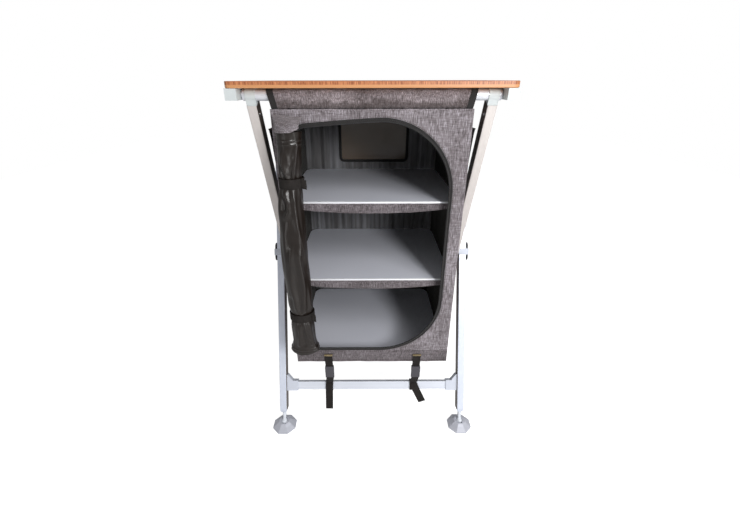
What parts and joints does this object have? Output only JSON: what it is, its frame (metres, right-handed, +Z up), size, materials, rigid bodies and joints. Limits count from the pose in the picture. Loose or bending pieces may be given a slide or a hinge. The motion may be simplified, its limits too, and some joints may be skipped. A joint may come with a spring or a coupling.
{
  "type": "camping storage unit",
  "caption": "Folding camp cupboard: wooden top on crossed tube legs, hanging fabric cabinet with stiff shelves, rolled side-opening door and levelling feet.",
  "frame": {"origin": "on the floor, under the middle of the whole unit", "axes": "+Z up, -Y towards the front with the door opening, +X to the right seen from the front"},
  "size_m": [0.6118, 0.4905, 0.9729],
  "materials": {
    "bamboo": "satin layered bamboo",
    "aluminium": "satin anodised",
    "pale_plastic": "fine matt",
    "grey_fabric": "grey melange weave",
    "dark_fabric": "black weave",
    "black_vinyl": "coated, slight gloss",
    "clear_film": "clear film",
    "board": "smooth satin",
    "steel": "bright",
    "webbing": "woven webbing",
    "buckle_plastic": "fine matt",
    "pad_plastic": "fine matt"
  },
  "bodies": {
    "root": {"tabletop": "bamboo", "side_rail_left": "aluminium", "side_rail_right": "aluminium", "front_block_left": "pale_plastic", "front_block_right": "pale_plastic", "front_tube": "aluminium", "front_sleeve": "grey_fabric", "front_panel": "grey_fabric", "side_wall_left": "grey_fabric", "side_wall_right": "grey_fabric", "cabinet_roof": "dark_fabric", "cabinet_floor": "dark_fabric", "rear_panel": "dark_fabric", "rear_window": "clear_film", "rolled_door": "black_vinyl", "door_tie_upper": "webbing", "door_tie_lower": "webbing", "strap_upper_left": "webbing", "strap_upper_right": "webbing", "buckle_socket_left": "buckle_plastic", "buckle_socket_right": "buckle_plastic"},
    "frame_a": {"rear_crossbar": "aluminium", "leg_a_left": "aluminium", "leg_a_right": "aluminium", "leg_hub_a_left": "pale_plastic", "leg_hub_a_right": "pale_plastic", "rear_bracket_left": "pale_plastic", "rear_bracket_right": "pale_plastic", "pivot_bolt_left": "steel", "pivot_bolt_right": "steel"},
    "frame_b": {"rear_tube": "aluminium", "rear_sleeve": "grey_fabric", "front_crossbar": "aluminium", "leg_b_left": "aluminium", "leg_b_right": "aluminium", "leg_hub_b_left": "pale_plastic", "leg_hub_b_right": "pale_plastic", "front_bracket_left": "pale_plastic", "front_bracket_right": "pale_plastic", "strap_lower_left": "webbing", "strap_lower_right": "webbing"},
    "shelf_top": {"shelf_board_top_left": "board", "shelf_board_top_right": "board", "shelf_rod_top": "steel"},
    "shelf_middle": {"shelf_board_middle_left": "board", "shelf_board_middle_right": "board", "shelf_rod_middle": "steel"},
    "shelf_bottom": {"shelf_board_bottom_left": "board", "shelf_board_bottom_right": "board"},
    "plug_left": {"buckle_plug_left": "buckle_plastic"},
    "plug_right": {"buckle_plug_right": "buckle_plastic"},
    "stem_front_left": {"foot_stem_front_left": "steel"},
    "stem_front_right": {"foot_stem_front_right": "steel"},
    "stem_rear_left": {"foot_stem_rear_left": "steel"},
    "stem_rear_right": {"foot_stem_rear_right": "steel"},
    "pad_front_left": {"foot_pad_front_left": "pad_plastic"},
    "pad_front_right": {"foot_pad_front_right": "pad_plastic"},
    "pad_rear_left": {"foot_pad_rear_left": "pad_plastic"},
    "pad_rear_right": {"foot_pad_rear_right": "pad_plastic"}
  },
  "joints": [
    {"name": "frame_fold", "type": "hinge", "parent": "root", "child": "frame_a", "pos_m": [0, -0.1692, 0.9465], "axis": [-1, 0, 0], "range_deg": [0, 15.27], "deforming": ["side_wall_left", "side_wall_right", "cabinet_roof", "cabinet_floor", "rear_panel", "rear_window", "strap_lower_left", "strap_lower_right"]},
    {"name": "scissor_pivot", "type": "hinge", "parent": "frame_a", "child": "frame_b", "pos_m": [0, 0.0108, 0.507], "axis": [1, 0, 0], "range_deg": [0, 30.56]},
    {"name": "shelf_top_stow", "type": "hinge", "parent": "frame_a", "child": "shelf_top", "pos_m": [0, 0.0108, 0.713], "axis": [-1, 0, 0], "range_deg": [0, 74.75]},
    {"name": "shelf_middle_stow", "type": "hinge", "parent": "frame_a", "child": "shelf_middle", "pos_m": [0, 0.0608, 0.505], "axis": [-1, 0, 0], "range_deg": [0, 74.75]},
    {"name": "shelf_bottom_stow", "type": "hinge", "parent": "frame_a", "child": "shelf_bottom", "pos_m": [0, 0.1108, 0.2635], "axis": [-1, 0, 0], "range_deg": [0, 74.75]},
    {"name": "buckle_left_release", "type": "slide", "parent": "root", "child": "plug_left", "axis": [0, 0, -1], "range_m": [0, 0.0597]},
    {"name": "buckle_right_release", "type": "slide", "parent": "root", "child": "plug_right", "axis": [0, 0, -1], "range_m": [0, 0.0597]},
    {"name": "foot_front_left_height", "type": "slide", "parent": "frame_b", "child": "stem_front_left", "axis": [0, -0.379, -0.9254], "range_m": [0, 0.015]},
    {"name": "foot_front_right_height", "type": "slide", "parent": "frame_b", "child": "stem_front_right", "axis": [0, -0.379, -0.9254], "range_m": [0, 0.015]},
    {"name": "foot_rear_left_height", "type": "slide", "parent": "frame_a", "child": "stem_rear_left", "axis": [0, 0.379, -0.9254], "range_m": [0, 0.015]},
    {"name": "foot_rear_right_height", "type": "slide", "parent": "frame_a", "child": "stem_rear_right", "axis": [0, 0.379, -0.9254], "range_m": [0, 0.015]},
    {"name": "foot_front_left_tilt", "type": "hinge", "parent": "stem_front_left", "child": "pad_front_left", "pos_m": [-0.27175, -0.18947, 0.018], "axis": [1, 0, 0], "range_deg": [-20, 20]},
    {"name": "foot_front_right_tilt", "type": "hinge", "parent": "stem_front_right", "child": "pad_front_right", "pos_m": [0.27175, -0.18947, 0.018], "axis": [1, 0, 0], "range_deg": [-20, 20]},
    {"name": "foot_rear_left_tilt", "type": "hinge", "parent": "stem_rear_left", "child": "pad_rear_left", "pos_m": [-0.24975, 0.21107, 0.018], "axis": [1, 0, 0], "range_deg": [-20, 20]},
    {"name": "foot_rear_right_tilt", "type": "hinge", "parent": "stem_rear_right", "child": "pad_rear_right", "pos_m": [0.24975, 0.21107, 0.018], "axis": [1, 0, 0], "range_deg": [-20, 20]}
  ],
  "couplings": [
    {"joint": "scissor_pivot", "follows": "frame_fold", "ratio": 2},
    {"joint": "shelf_top_stow", "follows": "frame_fold", "ratio": 4.894},
    {"joint": "shelf_middle_stow", "follows": "frame_fold", "ratio": 4.894},
    {"joint": "shelf_bottom_stow", "follows": "frame_fold", "ratio": 4.894},
    {"joint": "buckle_left_release", "follows": "frame_fold", "m_per_rad": 0.2235},
    {"joint": "buckle_right_release", "follows": "frame_fold", "m_per_rad": 0.2235}
  ]
}
